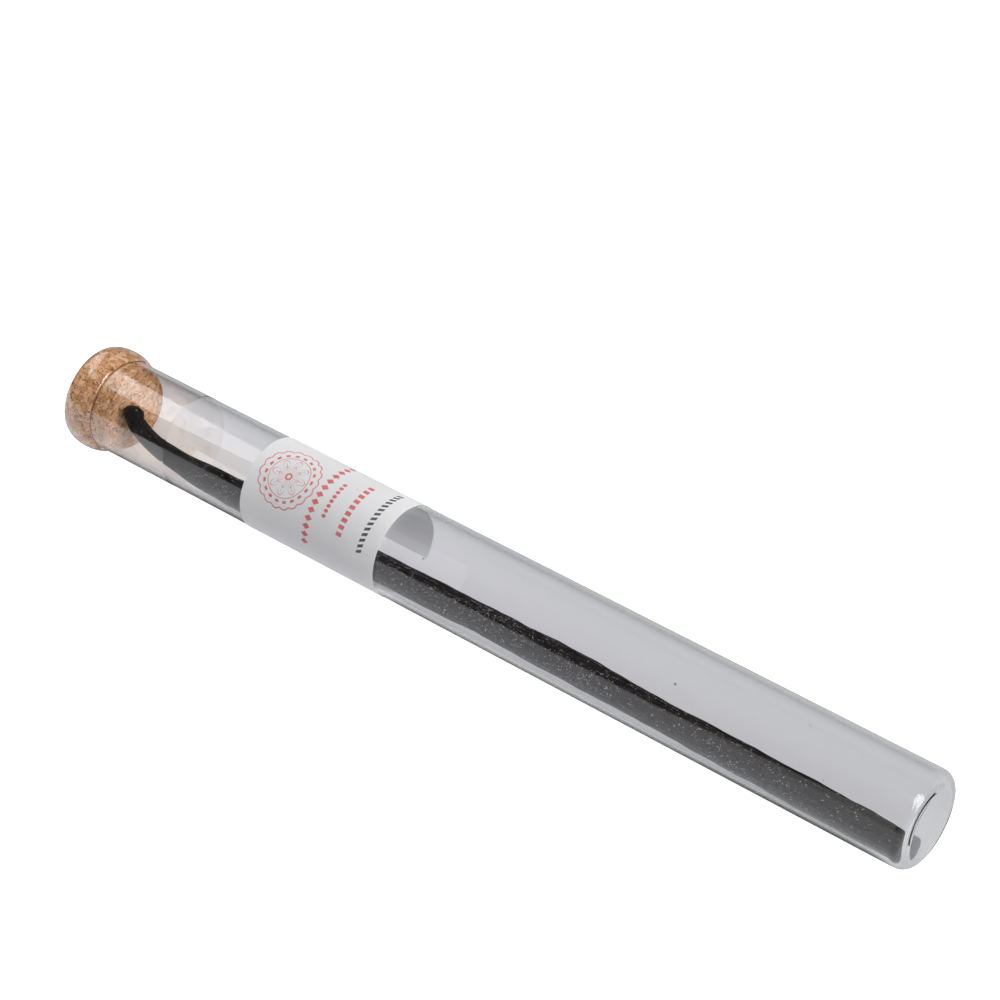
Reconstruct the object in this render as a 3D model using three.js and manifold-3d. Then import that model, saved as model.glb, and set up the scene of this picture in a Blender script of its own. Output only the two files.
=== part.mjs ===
// One vanilla pod in a corked and sealed glass tube with a paper label, lying on its side.
//
// Millimetres, +Z up. The tube lies along X with its corked mouth towards -X, resting on its flared collar and on
// its shut end, so its axis slopes down a little towards +X. The origin is under the middle of the whole pack.
// Every piece is first made in the tube's own frame: X from the mouth along the axis, Y and Z across it.

import * as THREE from 'three';
import { mergeVertices } from 'three/addons/utils/BufferGeometryUtils.js';
import Module from 'manifold-3d';

// ---- Driving dimensions ----

const TUBE = {
  length: 206.5,
  radius: 10,
  wall: 0.9,
  floor: 1.2,         // thickness of the shut end
  cornerOutside: 2.7, // rounding of the shut end
  cornerInside: 1.9,
};

const COLLAR = {
  bulge: 1.3,         // how far the flared collar stands out from the tube
  length: 7.2,
  fillet: 0.3,        // rounding of the groove between collar and tube
};

const CORK = {
  inset: 0.3,         // outer end below the mouth
  length: 10.4,
  clearance: 0.1,     // radial gap to the glass
  taper: 0.15,        // how much the inner end is smaller in radius
  bevel: 0.5,
};

const SEAL = {
  reach: 27.5,        // from the mouth to its edge on the straight part of the tube
  clearance: 0.1,
  thickness: 0.2,
  rim: 64,            // degrees round the collar's bow from its crest to the film's edge near the mouth
  neck: 60,           // the same to where it leaves the bow and bridges the groove
  landing: 8.3,       // where it meets the tube again
  lift: 0.4,          // under the collar the film is open up to this height over the floor
};

const LABEL = {
  start: 49.5,        // edge nearer the mouth
  length: 35,
  clearance: 0.1,
  thickness: 0.2,
  backEdge: 134,      // degrees from the top of the tube over its back (+Y)
  frontEdge: -164,    // degrees from the top over the front (-Y)
};

// Stations of the pod from its hooked stem end to its blunt tip: the middle of the section along the tube,
// sideways and up from the tube's axis, and half of its width.
const POD_STATIONS = [
  { along: 13.9, side: -3.1, up: 4.3, half: 2.6 },
  { along: 13.8, side: -3.1, up: 1.4, half: 2.4 },
  { along: 17.2, side: -2.9, up: -2.4, half: 2.35 },
  { along: 24.0, side: -2.6, up: -4.6, half: 2.8 },
  { along: 40.0, side: -2.6, up: -5.45, half: 3.85 },
  { along: 90.0, side: -2.1, up: -5.65, half: 3.9 },
  { along: 126.0, side: -2.0, up: -5.3, half: 4.0 },
  { along: 150.0, side: -2.6, up: -5.15, half: 3.8 },
  { along: 174.0, side: -3.3, up: -4.95, half: 3.95 },
  { along: 204.4, side: -3.9, up: -4.8, half: 3.9 },
];

const POD = {
  flatness: 0.76,     // thickness over width
  sides: 20,
  steps: 54,
  furrows: 5,         // lengthwise creases round the skin
  furrowDepth: 0.06,  // as a share of the half width
  endRounding: 0.01,  // share of the length over which each end closes
};

const REST_FLAT_DEPTH = 0.1; // how deep the small resting flats are ground into the glass
const FACETS = 48;           // sides of every round piece
const ARC_STEPS = 2;         // half the divisions of a quarter round

// ---- Solids and booleans ----

const wasm = await Module();
wasm.setup();

/** A manifold-3d solid with the shape of a closed three.js geometry. */
function toSolid(geometry) {
  const bare = geometry.clone();
  bare.deleteAttribute('normal');
  bare.deleteAttribute('uv');
  const merged = mergeVertices(bare, 1e-4);
  const triangles = [];
  for (let i = 0; i < merged.index.count; i += 3) {
    const corners = merged.index.array.slice(i, i + 3);
    if (new Set(corners).size === 3) triangles.push(...corners); // on the axis a lathe has empty ones
  }
  return new wasm.Manifold(new wasm.Mesh({
    numProp: 3,
    vertProperties: new Float32Array(merged.attributes.position.array),
    triVerts: new Uint32Array(triangles),
  }));
}

/** A three.js geometry with the shape of a manifold-3d solid. */
function toGeometry(solid) {
  const mesh = solid.getMesh();
  const geometry = new THREE.BufferGeometry();
  geometry.setAttribute('position', new THREE.BufferAttribute(mesh.vertProperties, 3));
  geometry.setIndex(new THREE.BufferAttribute(mesh.triVerts, 1));
  return geometry;
}

// ---- Profiles, as (radius, distance from the mouth) ----

/** Turns a profile round the tube's axis. */
function turned(points) {
  return new THREE.LatheGeometry(points, FACETS).rotateZ(-Math.PI / 2);
}

/** The wall of the tube in section: collar, outside, shut end, inside and back over the lip. */
function tubeProfile() {
  const { length, radius, wall, floor, cornerOutside, cornerInside } = TUBE;
  const half = COLLAR.length / 2;
  const bore = radius - wall;
  const outline = new THREE.Path();
  outline.moveTo(0, length - floor);
  outline.lineTo(bore - cornerInside, length - floor);
  outline.absarc(bore - cornerInside, length - floor - cornerInside, cornerInside, Math.PI / 2, 0, true);
  outline.absarc(radius, wall, wall, Math.PI, 1.5 * Math.PI, false);
  const collar = new THREE.Path();
  collar.absellipse(radius, half, COLLAR.bulge, half, -Math.PI / 2, Math.PI / 2 - 0.3, false, 0);
  const neck = new THREE.Path();
  neck.absarc(radius + COLLAR.fillet, COLLAR.length + COLLAR.fillet, COLLAR.fillet, 1.4 * Math.PI, Math.PI, true);
  neck.absarc(radius - cornerOutside, length - cornerOutside, cornerOutside, 0, Math.PI / 2, false);
  neck.lineTo(0, length);
  return [
    ...outline.getPoints(ARC_STEPS),
    ...collar.getPoints(3 * ARC_STEPS).slice(1),
    ...neck.getPoints(ARC_STEPS),
  ];
}

/** The stopper in section: slightly tapered, with both edges bevelled. */
function corkProfile() {
  const outer = TUBE.radius - TUBE.wall - CORK.clearance;
  const inner = outer - CORK.taper;
  const near = CORK.inset;
  const far = CORK.inset + CORK.length;
  return [
    new THREE.Vector2(0, near),
    new THREE.Vector2(outer - CORK.bevel, near),
    new THREE.Vector2(outer, near + CORK.bevel),
    new THREE.Vector2(inner, far - CORK.bevel),
    new THREE.Vector2(inner - CORK.bevel, far),
    new THREE.Vector2(0, far),
  ];
}

/** The clear film in section: over the collar's bow, across the groove behind it and along the tube. */
function sealProfile() {
  const half = COLLAR.length / 2;
  const line = (offset) => {
    const bow = new THREE.Path();
    const from = -THREE.MathUtils.degToRad(SEAL.rim);
    const to = THREE.MathUtils.degToRad(SEAL.neck);
    bow.absellipse(TUBE.radius, half, COLLAR.bulge + offset, half + offset, from, to, false, 0);
    bow.lineTo(TUBE.radius + offset, SEAL.landing);
    bow.lineTo(TUBE.radius + offset, SEAL.reach);
    return bow.getPoints(2 * ARC_STEPS);
  };
  const inner = line(SEAL.clearance);
  const outer = line(SEAL.clearance + SEAL.thickness);
  return [...outer, ...inner.reverse(), outer[0]];
}

// ---- Sub-parts in the tube's own frame ----

/** The paper: a band of part of a ring, run along the tube. */
function labelGeometry() {
  const inner = TUBE.radius + LABEL.clearance;
  const outer = inner + LABEL.thickness;
  const from = THREE.MathUtils.degToRad(90 - LABEL.backEdge);
  const to = THREE.MathUtils.degToRad(90 - LABEL.frontEdge);
  const band = new THREE.Shape();
  band.absarc(0, 0, outer, from, to, false);
  band.absarc(0, 0, inner, to, from, true);
  const turn = (to - from) / (2 * Math.PI);
  const geometry = new THREE.ExtrudeGeometry(band, {
    depth: LABEL.length,
    bevelEnabled: false,
    curveSegments: Math.round(FACETS * turn / 2),
  });
  const alongTube = new THREE.Matrix4().makeBasis(
    new THREE.Vector3(0, 1, 0),
    new THREE.Vector3(0, 0, 1),
    new THREE.Vector3(1, 0, 0),
  );
  return geometry.applyMatrix4(alongTube).translate(LABEL.start, 0, 0);
}

/** How far the pod's section has opened at a share of its length: round ends, full between. */
function podOpening(share) {
  const fromEnd = Math.min(share, 1 - share) / POD.endRounding;
  return fromEnd >= 1 ? 1 : Math.sqrt(1 - (1 - fromEnd) ** 2);
}

/** The pod: a cylinder bent along its route, flattened towards the glass and creased lengthwise. */
function podGeometry() {
  const route = new THREE.CatmullRomCurve3(POD_STATIONS.map((s) => new THREE.Vector3(s.along, s.side, s.up)));
  const widths = new THREE.CatmullRomCurve3(POD_STATIONS.map((s) => new THREE.Vector3(s.half, 0, 0)));
  const lean = new THREE.Vector3(0, -0.45, -0.9).normalize();
  const geometry = new THREE.CylinderGeometry(1, 1, 1, POD.sides, POD.steps);
  const position = geometry.attributes.position;
  const point = new THREE.Vector3();
  for (let i = 0; i < position.count; i += 1) {
    point.fromBufferAttribute(position, i);
    const share = (1 - Math.cos(Math.PI * THREE.MathUtils.clamp(point.y + 0.5, 0, 1))) / 2; // closer at the ends
    const spread = Math.hypot(point.x, point.z);
    const angle = Math.atan2(point.z, point.x);
    const middle = route.getPointAt(share);
    const tangent = route.getTangentAt(share);
    const half = widths.getPoint(route.getUtoTmapping(share)).x * Math.max(podOpening(share), 0.4);
    const thin = lean.clone().addScaledVector(tangent, -lean.dot(tangent)).normalize();
    const wide = new THREE.Vector3().crossVectors(tangent, thin);
    const crease = 1 - POD.furrowDepth * (1 - Math.cos(POD.furrows * angle)) * podOpening(share);
    middle.addScaledVector(wide, half * crease * spread * Math.cos(angle));
    middle.addScaledVector(thin, half * POD.flatness * crease * spread * Math.sin(angle));
    position.setXYZ(i, middle.x, middle.y, middle.z);
  }
  return geometry;
}

// ---- The pack as it lies ----

const collarTop = TUBE.radius + COLLAR.bulge;
const footing = TUBE.length - TUBE.cornerOutside - COLLAR.length / 2; // between the two places it rests on
const slope = Math.asin(COLLAR.bulge / footing);

const lying = new THREE.Group();
lying.rotation.y = slope;
lying.position.z = collarTop * Math.cos(slope) + (COLLAR.length / 2) * Math.sin(slope) - REST_FLAT_DEPTH;
lying.updateMatrix();

/** A turned piece with all of it cut off that would lie lower than a height over the floor. */
function turnedAbove(height, profile) {
  const below = new THREE.BoxGeometry(3 * TUBE.length, 6 * TUBE.radius, TUBE.radius)
    .translate(0, 0, height - TUBE.radius / 2)
    .applyMatrix4(lying.matrix.clone().invert());
  return toGeometry(toSolid(turned(profile)).subtract(toSolid(below)));
}

/** Adds one named piece to the lying pack. */
function addPiece(name, geometry, look) {
  const mesh = new THREE.Mesh(geometry, new THREE.MeshStandardMaterial(look));
  mesh.name = name;
  lying.add(mesh);
}

addPiece('glass_tube', turnedAbove(0, tubeProfile()), {
  color: 0xe6ebec, roughness: 0.03, metalness: 0, transparent: true, opacity: 0.35,
});
addPiece('cork_stopper', turned(corkProfile()), { color: 0xb07a4b, roughness: 0.9, metalness: 0 });
addPiece('vanilla_pod', podGeometry(), { color: 0x15100d, roughness: 0.45, metalness: 0 });
addPiece('paper_label', labelGeometry(), { color: 0xf4f2ef, roughness: 0.75, metalness: 0 });
addPiece('seal_film', turnedAbove(SEAL.lift, sealProfile()), {
  color: 0xf2f2f2, roughness: 0.1, metalness: 0, transparent: true, opacity: 0.2,
});

const bounds = new THREE.Box3().setFromObject(lying, true);
lying.position.x = -(bounds.min.x + bounds.max.x) / 2;
lying.position.y = -(bounds.min.y + bounds.max.y) / 2;

const pack = new THREE.Group();
pack.add(lying);

export default pack;
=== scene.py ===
"""A vanilla pod in a corked, labelled glass tube that lies on a pale studio floor.

Sizes are in millimetres unless a name says otherwise. Each piece is first made in the tube's own frame, with
X running from the mouth along the axis and Y and Z across it, and is then laid down and scaled to metres.
"""

import logging
import math
import random
from dataclasses import dataclass
from enum import Enum
from functools import partialmethod

import bmesh
import bpy
from bmesh.types import BMesh
from bpy.types import ID, Material, Node, NodeSocket, NodeTree, Object, World
from mathutils import Matrix, Vector, noise


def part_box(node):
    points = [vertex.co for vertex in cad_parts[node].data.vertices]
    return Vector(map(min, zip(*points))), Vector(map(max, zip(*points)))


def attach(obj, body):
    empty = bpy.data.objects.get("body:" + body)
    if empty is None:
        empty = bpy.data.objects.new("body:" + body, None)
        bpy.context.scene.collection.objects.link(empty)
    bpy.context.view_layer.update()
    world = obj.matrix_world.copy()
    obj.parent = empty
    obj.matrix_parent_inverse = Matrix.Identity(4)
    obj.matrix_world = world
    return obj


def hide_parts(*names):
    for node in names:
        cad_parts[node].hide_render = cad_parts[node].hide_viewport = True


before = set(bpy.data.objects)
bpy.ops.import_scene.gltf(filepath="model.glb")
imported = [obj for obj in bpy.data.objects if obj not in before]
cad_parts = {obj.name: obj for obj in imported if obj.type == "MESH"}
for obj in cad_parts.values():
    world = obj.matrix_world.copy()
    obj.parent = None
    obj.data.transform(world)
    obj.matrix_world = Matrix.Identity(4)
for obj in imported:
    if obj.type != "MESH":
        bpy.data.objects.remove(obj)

log = logging.getLogger("vanilla_tube")

MM = 0.001
TURN = 2 * math.pi
RIM_ANGLE = math.radians(40)
MIRRORED_HEAD_ON = 0.04
BLACK = (0.0, 0.0, 0.0)
WHITE = (1.0, 1.0, 1.0)

Pair = tuple[float, float]
Triple = tuple[float, float, float]
Section = list[Pair]
Colour = Triple
Inputs = dict[str | int, object]


# ---- Node work shared by every finish ----


class Pattern(Enum):
    """Patterns that several finishes share: name, output and the usual value of each number they take.

    Mottle is a patchy tone from 0 to 1, and specks are scattered and of uneven size.
    """

    MOTTLE = ("mottle", "Value", (("Scale", 100.0), ("Contrast", 1.0)))
    SPECKS = ("specks", "Mask", (("Scale", 100.0), ("Share", 0.2), ("Size", 0.2)))


class Bench:
    """Lays out and wires the nodes of one node tree."""

    def __init__(self, tree: NodeTree) -> None:
        """Takes over the tree and empties it."""
        self.tree = tree
        self.tree.nodes.clear()

    def node(self, kind: str, inputs: Inputs | None = None, **settings: object) -> Node:
        """Adds a node.

        Args:
            kind: the node's type name without its ShaderNode prefix.
            inputs: what its inputs get, by name or number.
            settings: attributes of the node to set.

        Returns:
            The new node.
        """
        made = self.tree.nodes.new("ShaderNode" + kind)
        for name, value in settings.items():
            setattr(made, name, value)
        self.fill(made, inputs or {})
        return made

    def fill(self, node: Node, inputs: Inputs) -> None:
        """Sets a node's inputs.

        Args:
            node: the node.
            inputs: a number, colour, Field or other socket for each input, by its name or number.
        """
        for name, value in inputs.items():
            target = node.inputs[name]
            value = value.socket if isinstance(value, Field) else value
            if isinstance(value, NodeSocket):
                self.tree.links.new(value, target)
            else:
                target.default_value = (*value, 1.0) if target.type == "RGBA" else value

    def mix(self, share: object, low: object, high: object) -> NodeSocket:
        """Mixes two colours, from low at share 0 to high at share 1."""
        return self.node("Mix", {0: share, 6: low, 7: high}, data_type="RGBA").outputs[2]

    def pattern(self, shared: Pattern, vector: object, **values: float) -> "Field":
        """Places a shared pattern at a vector, with its numbers set by name."""
        inputs = {"Vector": vector, **{name.capitalize(): value for name, value in values.items()}}
        return Field(self, self.node("Group", inputs, node_tree=group(shared)).outputs[0])

    mottle = partialmethod(pattern, Pattern.MOTTLE)
    specks = partialmethod(pattern, Pattern.SPECKS)

    def parts(self, kind: str, whole: object) -> list["Field"]:
        """The three numbers of an XYZ or a Color."""
        return [Field(self, part) for part in self.node("Separate" + kind, {0: whole}).outputs]

    def place(self) -> NodeSocket:
        """Where a point is, in metres."""
        return self.node("TexCoord").outputs["Object"]

    def drawn_out(self, vector: object, share: float) -> NodeSocket:
        """A place with its first number scaled down, which draws a pattern out that way."""
        return self.node("Mapping", {"Vector": vector, "Scale": (share, 1.0, 1.0)}).outputs[0]

    def ray(self, kind: str) -> "Field":
        """What the Light Path node says of the ray, by the name of its output."""
        return Field(self, self.node("LightPath").outputs[kind])

    def relief(self, shader: Node, height: object, depth: float, strength: float = 1.0) -> None:
        """Gives a finish its relief.

        Args:
            shader: its Principled shader.
            height: its height, with 1 at the full depth.
            depth: the full depth.
            strength: how much of it shows.
        """
        bump = self.node("Bump", {"Height": height, "Distance": depth * MM, "Strength": strength})
        self.fill(shader, {"Normal": bump.outputs[0]})


@dataclass(frozen=True)
class Field:
    """A number that changes over a surface, with arithmetic that adds Math nodes."""

    bench: Bench
    socket: NodeSocket

    def apply(self, operation: str, *others: object) -> "Field":
        """The result of a Math node on this number and others."""
        made = self.bench.node("Math", dict(enumerate((self, *others))), operation=operation)
        return Field(self.bench, made.outputs[0])

    __add__ = partialmethod(apply, "ADD")
    __sub__ = partialmethod(apply, "SUBTRACT")
    __mul__ = partialmethod(apply, "MULTIPLY")
    __truediv__ = partialmethod(apply, "DIVIDE")
    __abs__ = partialmethod(apply, "ABSOLUTE")

    def most(self, *others: object) -> "Field":
        """The greatest of this number and others.

        Args:
            others: the other numbers.

        Returns:
            The greatest.
        """
        made = self
        for other in others:
            made = made.apply("MAXIMUM", other)
        return made

    def rest(self) -> "Field":
        """What the number leaves of 1."""
        return self.apply("MULTIPLY_ADD", -1.0, 1.0)

    def between(self, low: float, high: float) -> "Field":
        """The number with 0 moved to a low and 1 to a high."""
        return self * (high - low) + low

    def above(self, limit: float, blur: float) -> "Field":
        """1 where the number is past a limit, with a soft step.

        Args:
            limit: where the step is.
            blur: half the width of the step.

        Returns:
            The mask.
        """
        span = {"Value": self, "From Min": limit - blur, "From Max": limit + blur}
        made = self.bench.node("MapRange", span, interpolation_type="SMOOTHSTEP")
        return Field(self.bench, made.outputs["Result"])

    def below(self, limit: float, blur: float) -> "Field":
        """1 where the number is under a limit, with a soft step."""
        return self.above(limit, blur).rest()


def group(pattern: Pattern) -> NodeTree:
    """Finds a shared pattern's node group.

    Args:
        pattern: which one.

    Returns:
        The group, made when it is first asked for.
    """
    name, output, usual = pattern.value
    made = bpy.data.node_groups.get(name)
    if made:
        return made
    tree = bpy.data.node_groups.new(name, "ShaderNodeTree")
    tree.interface.new_socket("Vector", in_out="INPUT", socket_type="NodeSocketVector")
    for label, value in usual:
        tree.interface.new_socket(label, in_out="INPUT", socket_type="NodeSocketFloat").default_value = value
    tree.interface.new_socket(output, in_out="OUTPUT", socket_type="NodeSocketFloat")
    bench = Bench(tree)
    given = {socket.name: Field(bench, socket) for socket in tree.nodes.new("NodeGroupInput").outputs}
    grid = {"Vector": given["Vector"], "Scale": given["Scale"]}
    if pattern is Pattern.MOTTLE:
        cloud = Field(bench, bench.node("TexNoise", {**grid, "Detail": 4.0, "Roughness": 0.6}).outputs[0])
        tone = (cloud - 0.5) * given["Contrast"] + 0.5
        result = tone.most(0.0).apply("MINIMUM", 1.0)
    else:
        cells = bench.node("TexVoronoi", grid)
        chance, size, _ = bench.parts("Color", cells.outputs["Color"])
        chosen = chance.apply("LESS_THAN", given["Share"])
        result = (size * given["Size"] - Field(bench, cells.outputs["Distance"])).above(0.0, 0.03) * chosen
    bench.fill(tree.nodes.new("NodeGroupOutput"), {output: result})
    return tree


def new_material(name: str) -> tuple[Material, Bench, Node]:
    """Starts a material.

    Args:
        name: the material's name.

    Returns:
        The material, its bench and its Principled shader, already wired to the output.
    """
    material = bpy.data.materials.new(name)
    material.use_nodes = True
    bench = Bench(material.node_tree)
    shader = bench.node("BsdfPrincipled")
    bench.node("OutputMaterial", {"Surface": shader.outputs[0]})
    return material, bench, shader


def see_through(bench: Bench, shader: Node, ior: float) -> None:
    """Makes a finish clear. Lamps and soft light pass it unbent, less of them at a slant.

    Args:
        bench: the finish's bench.
        shader: its Principled shader.
        ior: how strongly it bends light.
    """
    bench.fill(shader, {"Roughness": 0.0, "IOR": ior, "Transmission Weight": 1.0})
    slant = Field(bench, bench.node("LayerWeight").outputs["Facing"])
    mirrored = slant.apply("POWER", 5.0) * (1 - MIRRORED_HEAD_ON) + MIRRORED_HEAD_ON
    clear = bench.node("BsdfTransparent", {"Color": bench.mix(mirrored.rest(), BLACK, WHITE)})
    rays = bench.node("LightPath")
    surface = shader.outputs[0]
    for kind in ("Is Shadow Ray", "Is Diffuse Ray"):
        ways = {0: rays.outputs[kind], 1: surface, 2: clear.outputs[0]}
        surface = bench.node("MixShader", ways).outputs[0]
    output = next(node for node in bench.tree.nodes if node.type == "OUTPUT_MATERIAL")
    bench.fill(output, {"Surface": surface})


# ---- Finishes ----


@dataclass(frozen=True)
class ClearGlass:
    """Clear drawn glass, slightly grey through its depth, with a little dust on it."""

    tint: Colour = (0.975, 0.98, 0.985)  # the colour left after one pass through a surface
    ior: float = 1.5
    dust: Colour = (0.16, 0.15, 0.15)

    def material(self) -> Material:
        """Mixes the glass.

        Returns:
            The material.
        """
        material, bench, shader = new_material("clear_glass")
        specks = bench.specks(bench.place(), scale=260.0, share=0.05, size=0.085)
        bench.fill(shader, {"Base Color": bench.mix(specks, self.tint, self.dust)})
        see_through(bench, shader, self.ior)
        return material


@dataclass(frozen=True)
class ClearFilm:
    """Thin clear film, a little warm, finely creased, and crumpled where it goes round the collar."""

    tint: Colour = (0.995, 0.988, 0.978)  # the colour left after one pass through a surface
    soiled: Colour = (0.95, 0.925, 0.89)  # the same where it is less clear
    # The same in a thin darker ring in the groove behind the collar.
    groove_ring_tint: Colour = (0.42, 0.30, 0.22)
    ior: float = 1.45
    crease: float = 0.006  # depth of the fine creases
    crumple: float = 0.014  # depth of the crumples on the collar
    calm: float = -0.0958  # where the crumples end, along the pack in metres

    def material(self) -> Material:
        """Mixes the film.

        Returns:
            The material.
        """
        material, bench, shader = new_material("clear_film")
        place = bench.place()
        along = bench.parts("XYZ", place)[0]
        cloudy = bench.mottle(place, scale=260.0, contrast=3.0).above(0.75, 0.2)
        wander = bench.mottle(place, scale=700.0, contrast=2.0)
        # A thin darker ring in the groove behind the collar, with a wandering edge.
        groove_ring = (abs(along - self.calm) / MM + wander * 0.22).below(0.3, 0.08)
        bare = bench.mix(cloudy, self.tint, self.soiled)
        bench.fill(shader, {"Base Color": bench.mix(groove_ring * 0.8, bare, self.groove_ring_tint)})
        creases = bench.mottle(place, scale=620.0, contrast=1.6)
        folds = bench.mottle(bench.drawn_out(place, 0.22), scale=1100.0, contrast=2.6)
        on_collar = along.below(self.calm, 0.0012)
        height = creases * (self.crease / self.crumple) + folds * on_collar
        bench.relief(shader, height, self.crumple)
        see_through(bench, shader, self.ior)
        return material


@dataclass(frozen=True)
class PressedCork:
    """Agglomerated cork: pressed granules with dark flecks."""

    light: Colour = (0.91, 0.60, 0.37)  # pale granules
    middle: Colour = (0.85, 0.47, 0.245)  # most granules
    deep: Colour = (0.63, 0.295, 0.135)  # brown granules
    fleck: Colour = (0.25, 0.085, 0.03)  # dark flecks and seams
    granule: float = 1.25
    pit: float = 0.12  # depth of the seams and flecks

    def material(self) -> Material:
        """Mixes the cork: its granules, seams and flecks, with pits along the seams.

        Returns:
            The material.
        """
        material, bench, shader = new_material("pressed_cork")
        place = bench.place()
        scale = 1 / (self.granule * MM)
        wander = bench.node("TexNoise", {"Vector": place, "Scale": 1.6 * scale})
        push = {0: wander.outputs["Color"], 1: (0.5 / scale,) * 3, 2: place}
        pushed = bench.node("VectorMath", push, operation="MULTIPLY_ADD").outputs[0]
        grid = {"Vector": pushed, "Scale": scale}
        cells = bench.node("TexVoronoi", grid)
        seams = bench.node("TexVoronoi", grid, feature="DISTANCE_TO_EDGE")

        paler, browner, _ = bench.parts("Color", cells.outputs["Color"])
        cloud = bench.mottle(place, scale=2.6 * scale, contrast=2.2)
        grain = bench.mottle(place, scale=9.0 * scale, contrast=2.6)
        skin = bench.mix(paler.above(0.62, 0.14), self.middle, self.light)
        skin = bench.mix(browner.above(0.66, 0.12) * 0.8, skin, self.deep)
        skin = bench.mix(grain * 0.3, skin, self.deep)

        gap = Field(bench, seams.outputs["Distance"]).below(0.05, 0.04) * cloud.above(0.5, 0.12)
        flecks = bench.specks(pushed, scale=2.3 * scale, share=0.3, size=0.62)
        dots = bench.specks(place, scale=4.1 * scale, share=0.22, size=0.6)
        dark = gap.most(flecks, dots)
        colour = bench.mix(dark * 0.85, skin, self.fleck)
        bench.fill(shader, {"Base Color": colour, "Roughness": 0.82, "Specular IOR Level": 0.3})
        bench.relief(shader, grain * 0.3 - dark, self.pit, 0.8)
        return material


@dataclass(frozen=True)
class CuredSkin:
    """The oily, near-black skin of a cured pod, with fine lengthwise lines and pale crystals, and with
    painted shade in its creases and painted highlights on its ridges.
    """

    deep: Colour = (0.004, 0.0028, 0.0024)  # painted shade, darker in the creases
    raised: Colour = (0.015, 0.0115, 0.0115)  # painted highlight, lighter on the ridges
    sheen: Colour = (0.10, 0.088, 0.088)  # painted highlight on the crests of the finest ridges, standing in for their oily gloss
    crystal: Colour = (0.30, 0.285, 0.28)  # crystals
    ridges: float = 0.16  # height of the ridges

    def material(self) -> Material:
        """Mixes the skin. Its lines follow the UV map, in millimetres along and round the pod.

        Returns:
            The material.
        """
        material, bench, shader = new_material("cured_skin")
        place = bench.place()
        chart = bench.node("UVMap", uv_map="skin").outputs[0]
        stretched = bench.drawn_out(chart, 0.09)
        lines = bench.mottle(stretched, scale=3.2, contrast=2.4)
        threads = bench.mottle(stretched, scale=9.0, contrast=2.0)
        pores = bench.mottle(place, scale=1500.0, contrast=2.0)
        # Painted shade and highlight: the skin is darker where the ridges sink and lighter where they rise.
        ridge = lines * 0.6 + threads * 0.4
        # Painted highlight: the crests of the finest ridges take the lighter sheen colour.
        crest = threads.above(0.80, 0.12) * lines.above(0.45, 0.3)
        skin = bench.mix(crest, bench.mix(ridge, self.deep, self.raised), self.sheen)

        frosted = bench.mottle(place, scale=110.0, contrast=3.4).above(0.5, 0.3)
        flecks = bench.specks(bench.drawn_out(chart, 0.4), scale=2.6, share=0.16, size=0.42)
        grains = bench.specks(place, scale=1900.0, share=0.05, size=0.42)
        pale = (flecks * frosted * 0.8).most(grains * 0.7)
        bench.fill(shader, {
            "Base Color": bench.mix(pale, skin, self.crystal),
            "Roughness": lines * 0.2 + 0.30 + pale * 0.3,
            "Specular IOR Level": 0.16,
        })
        bench.relief(shader, ridge + pores * 0.1, self.ridges, 0.9)
        return material


@dataclass(frozen=True)
class Frost:
    """Tiny pale needles and grains that grow on a cured pod."""

    colour: Colour = (0.72, 0.70, 0.70)

    def material(self) -> Material:
        """Mixes the crystals' finish, here and there darker.

        Returns:
            The material.
        """
        material, bench, shader = new_material("frost")
        tone = bench.mottle(bench.place(), scale=900.0, contrast=2.5)
        darker = tuple(0.35 * part for part in self.colour)
        bench.fill(shader, {"Base Color": bench.mix(tone, darker, self.colour), "Roughness": 0.35})
        return material


class Ink(Enum):
    """The colours printed on the label."""

    RED = (0.66, 0.085, 0.075)
    PALE_RED = (0.68, 0.27, 0.235)
    DARK = (0.022, 0.022, 0.026)


class Mark(Enum):
    """The shapes of which a printed row is made."""

    LOZENGE = "lozenge"
    DOT = "dot"
    BAR = "bar"
    SLANT = "slant"


@dataclass(frozen=True)
class PrintedRow:
    """One row of small marks that runs round the tube."""

    along: float  # its middle, from the label's edge nearer the mouth
    start: float  # where it starts round the tube, from the top, positive to the front
    length: float
    height: float
    pitch: float  # from one mark to the next
    fill: float  # the share of the pitch that a mark takes
    mark: Mark
    ink: Ink
    slant: float = 0.35  # how far slanted marks lean over a millimetre of height, as a share of the pitch

    def mask(self, across: Field, round_tube: Field, blur: float) -> Field:
        """Where the row has ink.

        Args:
            across: distance from the label's edge nearer the mouth.
            round_tube: distance round the tube from the top.
            blur: softness of the printed edge.

        Returns:
            The mask.
        """
        up = abs(across - self.along) / (self.height / 2)
        travelled = round_tube - self.start
        within = travelled.above(0.0, blur) * travelled.below(self.length, blur)
        lean = self.slant * self.pitch if self.mark is Mark.SLANT else 0.0
        leaned = travelled + (across - self.along) * lean
        side = abs((leaned / self.pitch).apply("FRACT") - 0.5) / (self.fill / 2)
        soft = 2 * blur / self.height
        if self.mark is Mark.LOZENGE:
            shape = (up + side).below(1.0, soft)
        elif self.mark is Mark.DOT:
            shape = (up * up + side * side).below(1.0, 2 * soft)
        else:
            shape = up.below(1.0, soft) * side.below(1.0, 2 * blur / (self.pitch * self.fill))
        return shape * within


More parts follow.
